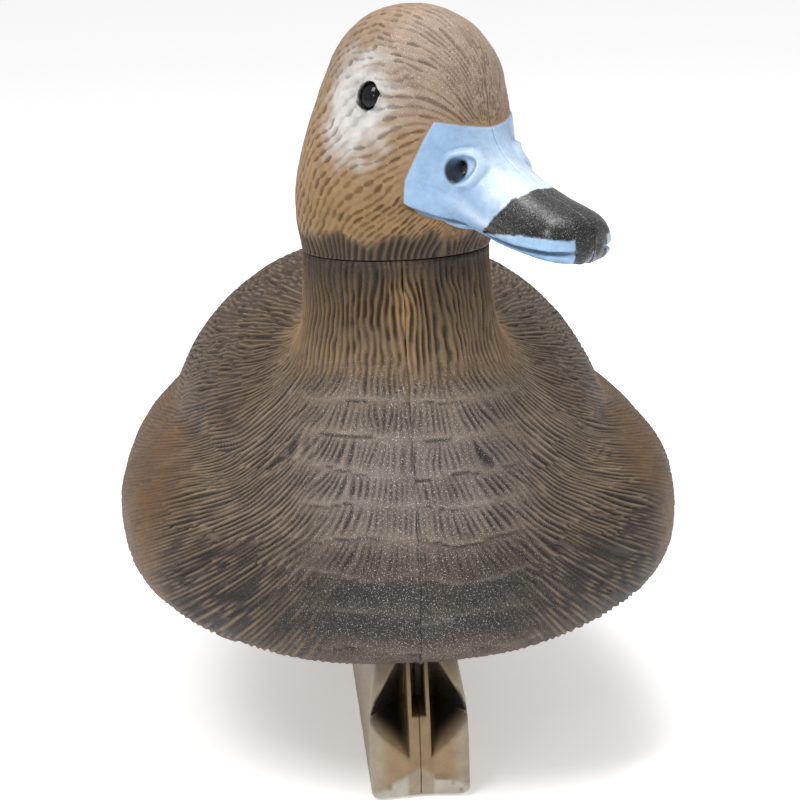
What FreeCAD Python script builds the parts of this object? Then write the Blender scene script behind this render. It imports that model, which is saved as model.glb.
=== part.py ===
import FreeCAD, Part
import math
import os

# Floating duck decoy: a hollow hull on a weighted keel, with a head that turns on its neck.
# The bird faces -Y, its left side is +X and +Z is up. The origin is the middle of the keel's flat
# bottom. All sizes are in millimetres.

# ---- driving dimensions ------------------------------------------------------------------------

REACH = 400.0               # more than any piece's size
WALL = 2.6                  # moulded wall of the hull and the head
GLUE = 0.05                 # glue line round an inset piece
RUNNING = 0.05              # radial clearance of a piece that turns or slides in a bore

BELLY_Z = 47.0              # flat landing under the hull
GASKET_THICKNESS = 1.0
KEEL_TOP = BELLY_Z - GASKET_THICKNESS

# Hull sections from breast to tail: y, half width of the flanks, height of the back, half width of
# the back, height of the belly, height of the widest line.
HULL_STATIONS = [
    (-121, 14, 91, 12, 64, 76),
    (-118, 27, 100, 24, 57, 76),
    (-112, 43.5, 111, 37, 51.5, 76),
    (-99, 63, 124, 52, 47.5, 77),
    (-80, 79, 135, 64, 46.5, 78),
    (-52, 89, 145, 73, 46.5, 80),
    (-17, 92.5, 153, 77, 46.5, 82),
    (30, 91, 158, 78, 46.5, 82),
    (80, 84, 153, 73, 46.5, 82),
    (120, 71, 141, 64, 49, 84),
    (160, 52, 124, 48, 60, 88),
    (192, 31, 110, 30, 80, 95),
    (210, 21, 106, 20, 95, 101),
    (222, 10, 107, 10, 102, 105),
]
FLANK_POWER = 2.4           # superellipse powers of a hull section's three arcs
BACK_POWER = 2.15
BELLY_POWER = 2.7
FLANK_RISE = 0.62           # height of the flank over the widest line, as a part of the back's
FLANK_RISE_MOST = 37.0
CREASE = 3.0                # how softly the folded wing meets the flank
SECTION_POINTS = 40

# Neck rings: height, centre y, half width, half depth. The last one is the swivel's plane.
SWIVEL_Z = 172.0
SWIVEL_Y = -68.0
COLLAR_R = 29.0
NECK_RINGS = [
    (94, -74, 46, 38),
    (110, -74.5, 42, 38),
    (126, -74, 36.5, 36.5),
    (142, -71, 31.5, 33),
    (158, -69, 29.6, 30.4),
    (SWIVEL_Z, SWIVEL_Y, COLLAR_R, COLLAR_R),
]
THROAT_RING = (SWIVEL_Z - 6, SWIVEL_Y, COLLAR_R - 1, COLLAR_R - 1)

# Head, in its own frame: f forward, s to the bird's left, u up from the swivel's plane.
HEAD_TURN = 42.0            # degrees that the head is turned to the bird's left
HEAD_GAP = 0.3              # between the head's underside and the neck
# Head rings: u, centre f, half length, half width.
HEAD_RINGS = [
    (HEAD_GAP, 0, COLLAR_R, COLLAR_R),
    (10, 1.5, 32.5, 30.5),
    (20, 3.5, 34.5, 31),
    (33, 6.5, 34, 29.5),
    (46, 9, 31.5, 26.5),
    (58, 10.5, 27.5, 23),
    (67, 10.5, 21, 17.5),
    (72.5, 10, 12.5, 10.5),
    (74.6, 10, 4.5, 4),
]
HEAD_MOUTH_RING = (2.5, 0, COLLAR_R - 1, COLLAR_R - 1)
# Bill sections: f, half width, top u, bottom u.
BILL_SECTIONS = [
    (22, 15.5, 47, 12),
    (32, 15, 43, 11),
    (42, 13.5, 34, 8),
    (52, 13, 26, 5),
    (63, 13.5, 20, 3),
    (72, 13.5, 16.5, 2),
    (77.5, 10, 13.5, 2),
    (79.5, 4, 11, 4),
]
BILL_POWER = 2.3
BILL_WALL = 2.2
BILL_HOLLOW_END = 70        # the bill is solid forward of this
EYE_PLACE = (14.5, 25.0, 49.0)
EYE_R = 5.2
EYE_SEAT_R = 4.0            # stem of the eye behind its dome

# Swivel
RING_R = COLLAR_R - WALL
RING_THICKNESS = 8.0
RING_BOSS_R = 17.0
RING_DEPTH = 28.4
SPIGOT_R = 12.0
SPIGOT_LENGTH = 33.0
SPIGOT_FLANGE = 5.0
O_RING_R = 1.5
O_RING_Z = SWIVEL_Z - 12.0
CLIP_THICKNESS = 1.6
CLIP_R = 17.0
CLIP_GROOVE_R = 9.5
CLIP_OPENING = 60.0         # degrees left open in the clip

# Keel outline: height, half width, front y, back y. The corners are rounded in plan.
KEEL_LEVELS = [
    (0, 15.6, -95, 94),
    (24, 15.5, -96, 97),
    (KEEL_TOP, 12.8, -93, 100),
]
KEEL_CORNER = 3.0
KEEL_WEB = 3.5              # half thickness of the web at the nose
KEEL_SLOT = 1.1             # half width of the slot between the two fins
KEEL_SLOT_Z = 28.0          # the fins are joined below this
NOSE_FRONT = -96.0
NOSE_DEPTH = 20.0           # depth of the nose pockets at the web
NOSE_LOW = 9.0
NOSE_HIGH = 52.0
NOSE_CREASE = 26.0
NOSE_CORNER_X = 16.0        # where a pocket runs out at the flank
TIE_HOLE_R = 2.3
TIE_HOLE_Z = 24.0
TIE_HOLE_BACK = 4.3         # from the nose's front to the hole's centre
VOID = (-64, 84, 29.5, 35.5)            # the keel's upper hollow: y from, y to, z from, z to
VOID_HALF_WIDTH = 9.5

# Ballast bar, and the cap that closes its bore
BAR_R = 11.2
BAR_BORE_R = 11.5
BAR_Z = 15.0
BAR_START = -62.0
BAR_END = 72.0
CAP_PLUG = 14.0
CAP_FLANGE_R = 13.6
CAP_FLANGE = 3.0
CAP_SEAT_R = 14.0           # flat seat for the flange, let into the keel's leaning back end
CAP_SEAT_GAP = 0.2

# Screws that hold the keel, driven down from inside the hull before its halves are joined
SCREW_X = 7.5
SCREW_YS = (-56, 12, 80)
SCREW_R = 1.7
SCREW_HEAD_R = 3.4
SCREW_HEAD = 2.2
SCREW_LENGTH = 13.0
WASHER_R = 4.4
WASHER_THICKNESS = 1.0
RAIL_HALF_WIDTH = 16.0      # the rail inside the belly that the screws pull against
RAIL_TOP = BELLY_Z + 5.0

# Drain, under the tail
DRAIN_Y = 120.0
DRAIN_PAD_R = 13.0
DRAIN_FACE = 47.5           # height of the pad's flat underside
BUSH_R = 8.5
BUSH_FLANGE_R = 11.5
BUSH_FLANGE = 1.5
BUSH_TOP = 62.0
DRAIN_R = 6.0
DRAIN_HEAD_R = 9.5
DRAIN_HEAD = 4.0
SEAL = 1.2                  # thickness of the flat seal rings


# ---- helpers -----------------------------------------------------------------------------------

def vec(x, y, z):
    return FreeCAD.Vector(x, y, z)


def cylinder(radius, height, x, y, z, axis=(0, 0, 1)):
    return Part.makeCylinder(radius, height, vec(x, y, z), vec(*axis))


def block(low, high):
    size = [b - a for a, b in zip(low, high)]
    return Part.makeBox(size[0], size[1], size[2], vec(*low))


def closed_spline(points):
    curve = Part.BSplineCurve()
    curve.interpolate(Points=points, PeriodicFlag=True)
    return Part.Wire([curve.toShape()])


def loft(wires, ruled=False):
    return Part.makeLoft(wires, True, ruled)


def ring_angles(count, start=math.pi):
    """Angles round a ring. The default start puts a spline's join on the bird's right side."""
    return [start + 2 * math.pi * i / count for i in range(count)]


def superellipse(angle, a, b, power):
    """Distance from the centre to a superellipse of half sizes a and b, in one direction."""
    across = abs(math.cos(angle)) / a
    along = abs(math.sin(angle)) / b
    return (across ** power + along ** power) ** (-1 / power)


def soft_max(a, b, width):
    blend = max(width - abs(a - b), 0) / width
    return max(a, b) + blend * blend * width / 4


def torus(radius, tube, x, y, z, axis=(0, 0, 1)):
    return Part.makeTorus(radius, tube, vec(x, y, z), vec(*axis))


def polyhedron(points, faces):
    shells = []
    for face in faces:
        corners = [points[i] for i in face]
        shells.append(Part.Face(Part.makePolygon(corners + corners[:1])))
    return Part.makeSolid(Part.makeShell(shells))


def side_of(shape, side):
    """The part of a shape on one side of x = 0."""
    low = (0, -REACH, -REACH) if side > 0 else (-REACH, -REACH, -REACH)
    high = (REACH, REACH, REACH) if side > 0 else (0, REACH, REACH)
    return shape.common(block(low, high))


def mirrored(shape):
    return shape.mirror(vec(0, 0, 0), vec(1, 0, 0))


# ---- hull --------------------------------------------------------------------------------------

def hull_section(station, inset):
    y, flank, back, wing, belly, middle = station
    y *= 1 - inset / abs(HULL_STATIONS[0][0])
    flank -= inset
    wing -= inset
    above = back - inset - middle
    below = middle - belly - inset
    rise = min(above * FLANK_RISE, FLANK_RISE_MOST) + 1
    points = []
    for angle in ring_angles(SECTION_POINTS):
        if math.sin(angle) < 0:
            radius = superellipse(angle, flank, below, BELLY_POWER)
        else:
            side = superellipse(angle, flank, rise, FLANK_POWER)
            dome = superellipse(angle, wing, above, BACK_POWER)
            radius = soft_max(side, dome, CREASE)
        points.append(vec(radius * math.cos(angle), y, middle + radius * math.sin(angle)))
    return closed_spline(points)


def neck_ring(ring, inset):
    z, centre, half_width, half_depth = ring
    points = []
    for angle in ring_angles(16):
        x = (half_width - inset) * math.cos(angle)
        y = centre + (half_depth - inset) * math.sin(angle)
        points.append(vec(x, y, z))
    return closed_spline(points)


def hull_solid():
    hull = loft([hull_section(station, 0) for station in HULL_STATIONS])
    neck = loft([neck_ring(ring, 0) for ring in NECK_RINGS])
    belly = block((-REACH, -REACH, 0), (REACH, REACH, BELLY_Z))
    return hull.fuse(neck).cut(belly)


def hull_hollow():
    """The space inside the hull, open at the top of the neck."""
    hull = loft([hull_section(station, WALL) for station in HULL_STATIONS[:-1]])
    neck = loft([neck_ring(ring, WALL) for ring in NECK_RINGS[:-1] + [THROAT_RING]])
    throat = cylinder(RING_R, 20, 0, SWIVEL_Y, NECK_RINGS[-2][0])
    return hull.fuse(neck).fuse(throat)


def body_left_shell():
    shell = side_of(hull_solid(), 1).cut(hull_hollow())
    rail_ends = (SCREW_YS[0] - 14, SCREW_YS[-1] + 14)
    rail = block((0, rail_ends[0], BELLY_Z), (RAIL_HALF_WIDTH, rail_ends[1], RAIL_TOP))
    pad = cylinder(DRAIN_PAD_R, BUSH_TOP - 4 - DRAIN_FACE, 0, DRAIN_Y, DRAIN_FACE)
    shell = shell.fuse(rail).fuse(side_of(pad, 1))
    for x, y in screw_places():
        shell = shell.cut(cylinder(SCREW_R + GLUE, 20, x, y, BELLY_Z - 5))
    return shell.cut(cylinder(BUSH_R, 40, 0, DRAIN_Y, DRAIN_FACE - 10))


# ---- head --------------------------------------------------------------------------------------

def head_point(f, s, u):
    """A point of the head while it looks straight ahead."""
    return vec(s, SWIVEL_Y - f, SWIVEL_Z + u)


def turned(shape):
    """A shape of the head, turned on its swivel to where the bird looks."""
    shape = shape.copy()
    shape.rotate(vec(0, SWIVEL_Y, 0), vec(0, 0, 1), HEAD_TURN)
    return shape


def head_ring(ring, inset):
    u, centre, half_length, half_width = ring
    points = []
    for angle in ring_angles(24):
        f = centre + (half_length - inset) * math.sin(angle)
        s = (half_width - inset) * math.cos(angle)
        points.append(head_point(f, s, u))
    return closed_spline(points)


def bill_section(section, inset):
    f, half_width, top, bottom = section
    middle = bottom + (top - bottom) * 0.4
    points = []
    for angle in ring_angles(24):
        half_height = top - middle if math.sin(angle) > 0 else middle - bottom
        radius = superellipse(angle, half_width - inset, half_height - inset, BILL_POWER)
        s = radius * math.cos(angle)
        u = middle + radius * math.sin(angle)
        points.append(head_point(f, s, u))
    return closed_spline(points)


def head_solid():
    head = loft([head_ring(ring, 0) for ring in HEAD_RINGS])
    bill = loft([bill_section(section, 0) for section in BILL_SECTIONS])
    return head.fuse(bill)


def head_hollow():
    """The space inside the head, open underneath."""
    rings = [HEAD_MOUTH_RING] + HEAD_RINGS[1:-2]
    hollow_bill = [section for section in BILL_SECTIONS if section[0] < BILL_HOLLOW_END]
    head = loft([head_ring(ring, WALL) for ring in rings])
    bill = loft([bill_section(section, BILL_WALL) for section in hollow_bill])
    mouth = cylinder(RING_R, SPIGOT_FLANGE + 4, 0, SWIVEL_Y, SWIVEL_Z - 3)
    return head.fuse(bill).fuse(mouth)


def head_left_shell():
    shell = side_of(head_solid(), 1).cut(head_hollow())
    return shell.cut(left_eye(GLUE))


def left_eye(grow):
    """A domed glass button: a ball's cap on a stem that points at the middle of the head."""
    f, s, u = EYE_PLACE
    centre = head_point(f, s, u)
    inside = head_point(f - 8, 0, u)
    axis = (centre - inside).normalize()
    ball = Part.makeSphere(EYE_R + grow, centre - axis * (EYE_R - 1.2))
    stem = Part.makeCylinder(EYE_SEAT_R + grow, 9 + grow, centre - axis * 11, axis)
    behind = Part.makeCylinder(3 * EYE_R, 12, centre - axis * 15, axis)
    return ball.cut(behind).fuse(stem)


# ---- swivel ------------------------------------------------------------------------------------

def neck_bearing_ring():
    disc = cylinder(RING_R - GLUE, RING_THICKNESS, 0, SWIVEL_Y, SWIVEL_Z - RING_THICKNESS)
    boss = cylinder(RING_BOSS_R, RING_DEPTH, 0, SWIVEL_Y, SWIVEL_Z - RING_DEPTH)
    bore = cylinder(SPIGOT_R + RUNNING, RING_DEPTH + 2, 0, SWIVEL_Y, SWIVEL_Z - RING_DEPTH - 1)
    return disc.fuse(boss).cut(bore)


def neck_spigot():
    flange = cylinder(RING_R - GLUE, SPIGOT_FLANGE, 0, SWIVEL_Y, SWIVEL_Z + HEAD_GAP)
    shaft = cylinder(SPIGOT_R, SPIGOT_LENGTH, 0, SWIVEL_Y, SWIVEL_Z - SPIGOT_LENGTH + HEAD_GAP)
    spigot = flange.fuse(shaft)
    groove = cylinder(SPIGOT_R + 2, 2 * O_RING_R + 0.2, 0, SWIVEL_Y, O_RING_Z - O_RING_R - 0.1)
    groove = groove.cut(cylinder(SPIGOT_R - 2 * O_RING_R, 10, 0, SWIVEL_Y, O_RING_Z - 5))
    clip_groove = cylinder(SPIGOT_R + 2, CLIP_THICKNESS + 0.2, 0, SWIVEL_Y, clip_bottom() - 0.1)
    clip_groove = clip_groove.cut(cylinder(CLIP_GROOVE_R, 10, 0, SWIVEL_Y, clip_bottom() - 5))
    return spigot.cut(groove).cut(clip_groove)


def neck_o_ring():
    return torus(SPIGOT_R - O_RING_R - 0.02, O_RING_R - 0.02, 0, SWIVEL_Y, O_RING_Z)


def clip_bottom():
    return SWIVEL_Z - RING_DEPTH - 0.3 - CLIP_THICKNESS


def spigot_retaining_clip():
    ring = cylinder(CLIP_R, CLIP_THICKNESS, 0, SWIVEL_Y, clip_bottom())
    ring = ring.cut(cylinder(CLIP_GROOVE_R + GLUE, 10, 0, SWIVEL_Y, clip_bottom() - 5))
    opening = Part.makeCylinder(
        2 * CLIP_R, 10, vec(0, SWIVEL_Y, clip_bottom() - 5), vec(0, 0, 1), CLIP_OPENING)
    opening.rotate(vec(0, SWIVEL_Y, 0), vec(0, 0, 1), 90 - CLIP_OPENING / 2)
    return ring.cut(opening)


# ---- keel --------------------------------------------------------------------------------------

def keel_level(level):
    z, half_width, front, back = level
    corner = KEEL_CORNER
    corners = [
        (half_width, front, -1, 1),
        (half_width, back, -1, -1),
        (-half_width, back, 1, -1),
        (-half_width, front, 1, 1),
    ]
    edges = []
    ends = []
    for i, (x, y, inward_x, inward_y) in enumerate(corners):
        on_end = vec(x + inward_x * corner, y, z)
        on_side = vec(x, y + inward_y * corner, z)
        centre = vec(x + inward_x * corner, y + inward_y * corner, z)
        start, finish = (on_end, on_side) if i % 2 == 0 else (on_side, on_end)
        towards = vec(-inward_x, -inward_y, 0) * (corner / math.sqrt(2))
        ends.append((start, finish))
        edges.append(Part.Arc(start, centre + towards, finish).toShape())
    joined = []
    for i, edge in enumerate(edges):
        joined.append(edge)
        joined.append(Part.makeLine(ends[i][1], ends[(i + 1) % 4][0]))
    return Part.Wire(joined)


def nose_pocket():
    """The four-sided hollow beside the web, deepest against the web, running out at the flank."""
    deepest = vec(KEEL_WEB, NOSE_FRONT + NOSE_DEPTH, NOSE_CREASE)
    mouth = [
        vec(KEEL_WEB, NOSE_FRONT, NOSE_LOW),
        vec(KEEL_WEB, NOSE_FRONT, NOSE_HIGH),
        vec(NOSE_CORNER_X, NOSE_FRONT + 2.0, NOSE_CREASE - 3.0),
    ]
    stretched = [deepest + (corner - deepest) * 1.25 for corner in mouth]
    return polyhedron([deepest] + stretched, [(0, 1, 2), (0, 2, 3), (0, 3, 1), (1, 3, 2)])


def keel_left_shell():
    keel = side_of(loft([keel_level(level) for level in KEEL_LEVELS], ruled=True), 1)
    keel = keel.cut(nose_pocket())
    slot_end = NOSE_FRONT + NOSE_DEPTH
    keel = keel.cut(block((-KEEL_SLOT, NOSE_FRONT - 5, KEEL_SLOT_Z), (KEEL_SLOT, slot_end, KEEL_TOP + 1)))
    tie_y = NOSE_FRONT + TIE_HOLE_BACK
    keel = keel.cut(cylinder(TIE_HOLE_R, 4 * KEEL_WEB, -2 * KEEL_WEB, tie_y, TIE_HOLE_Z, (1, 0, 0)))
    keel = keel.cut(cylinder(BAR_BORE_R, 200, 0, BAR_START, BAR_Z, (0, 1, 0)))
    keel = keel.cut(cylinder(CAP_SEAT_R, 20, 0, cap_seat(), BAR_Z, (0, 1, 0)))
    y_from, y_to, z_from, z_to = VOID
    keel = keel.cut(block((-VOID_HALF_WIDTH, y_from, z_from), (VOID_HALF_WIDTH, y_to, z_to)))
    for x, y in screw_places():
        keel = keel.cut(cylinder(SCREW_R + GLUE, 40, x, y, VOID[3] - 1))
    return keel


def screw_places():
    return [(side * SCREW_X, y) for side in (1, -1) for y in SCREW_YS]


def keel_gasket():
    top = KEEL_LEVELS[-1]
    inset = 1.0
    low = (-top[1] + inset, SCREW_YS[0] - 14, KEEL_TOP)
    high = (top[1] - inset, top[3] - 3, BELLY_Z)
    gasket = block(low, high)
    for x, y in screw_places():
        gasket = gasket.cut(cylinder(SCREW_R + GLUE, 5, x, y, KEEL_TOP - 1))
    return gasket


def keel_ballast():
    bar = cylinder(BAR_R, BAR_END - BAR_START - 2, 0, BAR_START + 1, BAR_Z, (0, 1, 0))
    return bar.makeChamfer(1.0, [edge for edge in bar.Edges if edge.Closed])


def cap_seat():
    """The y of the keel's back end at the foot of the cap's flange, where its seat is cut flat."""
    low, high = KEEL_LEVELS[0], KEEL_LEVELS[1]
    share = (BAR_Z - CAP_FLANGE_R - low[0]) / (high[0] - low[0])
    return low[3] + (high[3] - low[3]) * share


def ballast_cap():
    face = cap_seat()
    plug = cylinder(BAR_BORE_R - RUNNING, CAP_PLUG, 0, face - CAP_PLUG, BAR_Z, (0, 1, 0))
    flange = cylinder(CAP_FLANGE_R, CAP_FLANGE, 0, face + CAP_SEAT_GAP, BAR_Z, (0, 1, 0))
    neck = cylinder(BAR_BORE_R - RUNNING, 1, 0, face - 0.5, BAR_Z, (0, 1, 0))
    grip = block((-1.5, face + CAP_FLANGE, BAR_Z - 8), (1.5, face + CAP_FLANGE + 4, BAR_Z + 8))
    cap = plug.fuse(neck).fuse(flange).fuse(grip)
    groove = cylinder(BAR_BORE_R + 2, 2.6, 0, face - 7.3, BAR_Z, (0, 1, 0))
    groove = groove.cut(cylinder(BAR_BORE_R - 2.5, 6, 0, face - 9, BAR_Z, (0, 1, 0)))
    return cap.cut(groove)


def cap_seal_ring():
    return torus(BAR_BORE_R - RUNNING - 1.2, 1.18, 0, cap_seat() - 6, BAR_Z, (0, 1, 0))


# ---- fasteners and drain -----------------------------------------------------------------------

def keel_screws():
    screws = []
    under_head = RAIL_TOP + WASHER_THICKNESS
    for x, y in screw_places():
        head = cylinder(SCREW_HEAD_R, SCREW_HEAD, x, y, under_head)
        recess = block((x - 0.5, y - 2, under_head + 1), (x + 0.5, y + 2, under_head + SCREW_HEAD))
        cross = block((x - 2, y - 0.5, under_head + 1), (x + 2, y + 0.5, under_head + SCREW_HEAD))
        shank = cylinder(SCREW_R, SCREW_LENGTH, x, y, under_head - SCREW_LENGTH)
        screws.append(head.cut(recess).cut(cross).fuse(shank))
    return Part.makeCompound(screws)


def screw_washers():
    washers = []
    for x, y in screw_places():
        washer = cylinder(WASHER_R, WASHER_THICKNESS, x, y, RAIL_TOP)
        washers.append(washer.cut(cylinder(SCREW_R + GLUE, 5, x, y, RAIL_TOP - 2)))
    return Part.makeCompound(washers)


def drain_bushing():
    sleeve = cylinder(BUSH_R - GLUE, BUSH_TOP - DRAIN_FACE, 0, DRAIN_Y, DRAIN_FACE)
    flange = cylinder(BUSH_FLANGE_R, BUSH_FLANGE, 0, DRAIN_Y, DRAIN_FACE - BUSH_FLANGE)
    bore = cylinder(DRAIN_R + RUNNING, 40, 0, DRAIN_Y, DRAIN_FACE - 10)
    return sleeve.fuse(flange).cut(bore)


def drain_plug():
    under = DRAIN_FACE - BUSH_FLANGE - 0.1 - SEAL
    shank = cylinder(DRAIN_R, BUSH_TOP - under - 1, 0, DRAIN_Y, under)
    head = cylinder(DRAIN_HEAD_R, DRAIN_HEAD, 0, DRAIN_Y, under - DRAIN_HEAD)
    slot = block((-8, DRAIN_Y - 0.8, under - DRAIN_HEAD - 1), (8, DRAIN_Y + 0.8, under - DRAIN_HEAD + 1.6))
    return shank.fuse(head).cut(slot)


def drain_seal_ring():
    bottom = DRAIN_FACE - BUSH_FLANGE - 0.1 - SEAL
    ring = cylinder(DRAIN_HEAD_R - 0.5, SEAL, 0, DRAIN_Y, bottom)
    return ring.cut(cylinder(DRAIN_R + GLUE, 5, 0, DRAIN_Y, bottom - 2))


# ---- export ------------------------------------------------------------------------------------

def build():
    body = body_left_shell()
    head = head_left_shell()
    eye = left_eye(0)
    keel = keel_left_shell()
    return {
        "body_left_shell": body,
        "body_right_shell": mirrored(body),
        "head_left_shell": turned(head),
        "head_right_shell": turned(mirrored(head)),
        "left_eye": turned(eye),
        "right_eye": turned(mirrored(eye)),
        "neck_bearing_ring": neck_bearing_ring(),
        "neck_spigot": neck_spigot(),
        "neck_o_ring": neck_o_ring(),
        "spigot_retaining_clip": spigot_retaining_clip(),
        "keel_left_shell": keel,
        "keel_right_shell": mirrored(keel),
        "keel_gasket": keel_gasket(),
        "keel_ballast": keel_ballast(),
        "ballast_cap": ballast_cap(),
        "cap_seal_ring": cap_seal_ring(),
        "keel_screws": keel_screws(),
        "screw_washers": screw_washers(),
        "drain_bushing": drain_bushing(),
        "drain_plug": drain_plug(),
        "drain_seal_ring": drain_seal_ring(),
    }


os.makedirs("parts", exist_ok=True)
for name, shape in build().items():
    shape.exportStep("parts/" + name + ".step")
    box = shape.BoundBox
    print(name, len(shape.Solids), "solid(s)", "valid" if shape.isValid() else "NOT VALID",
          round(shape.Volume / 1000, 2), "cm3",
          [round(v, 1) for v in (box.XMin, box.XMax, box.YMin, box.YMax, box.ZMin, box.ZMax)])
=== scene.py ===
import math
import bpy
import numpy as np
from mathutils import Matrix, Vector


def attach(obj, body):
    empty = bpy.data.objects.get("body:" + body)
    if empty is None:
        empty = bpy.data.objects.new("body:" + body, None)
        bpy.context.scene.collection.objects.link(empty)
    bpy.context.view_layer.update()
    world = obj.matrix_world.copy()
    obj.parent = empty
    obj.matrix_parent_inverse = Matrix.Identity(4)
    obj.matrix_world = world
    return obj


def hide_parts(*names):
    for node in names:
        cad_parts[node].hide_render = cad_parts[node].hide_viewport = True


# Looks of the floating duck decoy: the hull, the head and the keel are meshes of their own, built
# from the same sections as the CAD model, in millimetres, and scaled to metres as they are made.

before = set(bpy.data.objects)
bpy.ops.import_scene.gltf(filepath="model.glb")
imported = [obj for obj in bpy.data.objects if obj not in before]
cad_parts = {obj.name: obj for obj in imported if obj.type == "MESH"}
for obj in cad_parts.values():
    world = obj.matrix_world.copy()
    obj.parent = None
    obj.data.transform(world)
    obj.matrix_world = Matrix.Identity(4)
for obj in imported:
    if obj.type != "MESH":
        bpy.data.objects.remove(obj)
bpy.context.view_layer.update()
MM = 0.001

# ---- shape of the bird, as in the CAD model ----------------------------------------------------

# y, half width of the flanks, height of the back, half width of the back, height of the belly,
# height of the widest line
HULL_STATIONS = [
    (-124, 0, 82, 0, 72, 76),
    (-121, 14, 91, 12, 64, 76),
    (-118, 27, 100, 24, 57, 76),
    (-112, 43.5, 111, 37, 51.5, 76),
    (-99, 63, 124, 52, 47.5, 77),
    (-80, 79, 135, 64, 46.5, 78),
    (-52, 89, 145, 73, 46.5, 80),
    (-17, 92.5, 153, 77, 46.5, 82),
    (30, 91, 158, 78, 46.5, 82),
    (80, 84, 153, 73, 46.5, 82),
    (120, 71, 141, 64, 49, 84),
    (160, 52, 124, 48, 60, 88),
    (192, 31, 110, 30, 80, 95),
    (210, 21, 106, 20, 95, 101),
    (222, 10, 107, 10, 102, 105),
    (225, 0, 106, 0, 104, 105),
]
FLANK_POWER = 2.4
BACK_POWER = 2.15
BELLY_POWER = 2.7
FLANK_RISE = 0.62
FLANK_RISE_MOST = 37.0
CREASE = 3.0
BELLY_Z = 47.0

SWIVEL_Y = -68.0
SWIVEL_Z = 172.0
COLLAR_R = 29.0
# z, centre y, half width, half depth
NECK_RINGS = [
    (94, -74, 46, 38),
    (110, -74.5, 42, 38),
    (126, -74, 36.5, 36.5),
    (142, -71, 31.5, 33),
    (158, -69, 29.6, 30.4),
    (172, -68, 29, 29),
    (240, -68, 29, 29),
]
NECK_BLEND = 17.0
NECK_END = 230.0             # the field runs on past the swivel, where the mesh starts

HEAD_TURN = 42.0
# u, centre f, half length, half width
HEAD_RINGS = [
    (0.3, 0, 29, 29),
    (10, 1.5, 32.5, 30.5),
    (20, 3.5, 34.5, 31),
    (33, 6.5, 34, 29.5),
    (46, 9, 31.5, 26.5),
    (58, 10.5, 27.5, 23),
    (67, 10.5, 21, 17.5),
    (72.5, 10, 12.5, 10.5),
    (74.6, 10, 4.5, 4),
    (75.0, 10, 0, 0),
]
# f, half width, top u, bottom u
BILL_SECTIONS = [
    (16, 15.5, 47, 12),
    (22, 15.5, 47, 12),
    (32, 15, 43, 11),
    (42, 13.5, 34, 8),
    (52, 13, 26, 5),
    (63, 13.5, 20, 3),
    (72, 13.5, 16.5, 2),
    (77.5, 10, 13.5, 2),
    (79.5, 4, 11, 4),
    (80.1, 0, 8.5, 6),
]
BILL_POWER = 2.3
# f and u of the eye's middle, then half length and half height of its socket
EYE_PLACE = (15.7, 49.6)
SOCKET = (3.6, 4.1)
# f and u of the nostril's hole, and of the ridge curled round it
NOSTRIL = (39.6, 27.6)
CURL = (41.0, 28.2)

# ---- numbers -----------------------------------------------------------------------------------


def fade(low, high, x):
    t = np.clip((x - low) / (high - low), 0, 1)
    return t * t * (3 - 2 * t)


def soft_max(a, b, width):
    blend = np.maximum(width - np.abs(a - b), 0) / width
    return np.maximum(a, b) + blend * blend * width / 4


def soft_min(a, b, width):
    return -soft_max(-a, -b, width)


def bump_at(x, centre, width):
    return np.exp(-((x - centre) / width) ** 2)


def hashed(ix, iy, iz, seed):
    """A repeatable number from 0 to 1 for each whole-number place."""
    h = (np.asarray(ix).astype(np.int64) * 73856093) ^ (np.asarray(iy).astype(np.int64) * 19349663)
    h = h ^ (np.asarray(iz).astype(np.int64) * 83492791) ^ (seed * 2654435761)
    h = (h & 0xFFFFFFFF).astype(np.uint64)
    h = ((h ^ (h >> np.uint64(15))) * np.uint64(2246822519)) & np.uint64(0xFFFFFFFF)
    h = ((h ^ (h >> np.uint64(13))) * np.uint64(3266489917)) & np.uint64(0xFFFFFFFF)
    return ((h ^ (h >> np.uint64(16))) & np.uint64(0xFFFFFF)).astype(float) / 0xFFFFFF


def noise(x, y, z, seed):
    """Smooth noise from -1 to 1, with one cell per unit."""
    x, y, z = np.broadcast_arrays(x, y, z)
    ix, iy, iz = np.floor(x), np.floor(y), np.floor(z)
    fx, fy, fz = [t * t * (3 - 2 * t) for t in (x - ix, y - iy, z - iz)]
    total = 0
    for dx in (0, 1):
        for dy in (0, 1):
            for dz in (0, 1):
                weight = (fx if dx else 1 - fx) * (fy if dy else 1 - fy) * (fz if dz else 1 - fz)
                total = total + weight * hashed(ix + dx, iy + dy, iz + dz, seed)
    return 2 * total - 1


def table(rows, column):
    """A smooth curve through one column of a table, with no overshoot."""
    x = np.array([row[0] for row in rows], float)
    y = np.array([row[column] for row in rows], float)
    step = np.diff(x)
    slope = np.diff(y) / step
    inner = np.where(slope[:-1] * slope[1:] > 0,
                     2 * slope[:-1] * slope[1:] / (slope[:-1] + slope[1:] + 1e-12), 0)
    at = np.concatenate([slope[:1], inner, slope[-1:]])
    fine = np.linspace(x[0], x[-1], 3000)
    i = np.clip(np.searchsorted(x, fine) - 1, 0, len(step) - 1)
    t = (fine - x[i]) / step[i]
    a = y[i] * (1 + 2 * t) * (1 - t) ** 2 + y[i + 1] * t * t * (3 - 2 * t)
    b = step[i] * t * (1 - t) * (at[i] * (1 - t) - at[i + 1] * t)
    curve = a + b
    return lambda q: np.interp(q, fine, curve)


def superellipse(cos, sin, a, b, power):
    return ((np.abs(cos) / a) ** power + (np.abs(sin) / b) ** power) ** (-1 / power)


# ---- fields: below zero inside, about the distance in millimetres -------------------------------

hull_flank, hull_back, hull_wing, hull_belly, hull_middle = [table(HULL_STATIONS, i)
                                                             for i in range(1, 6)]
neck_centre, neck_width, neck_depth = [table(NECK_RINGS, i) for i in range(1, 4)]


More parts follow.
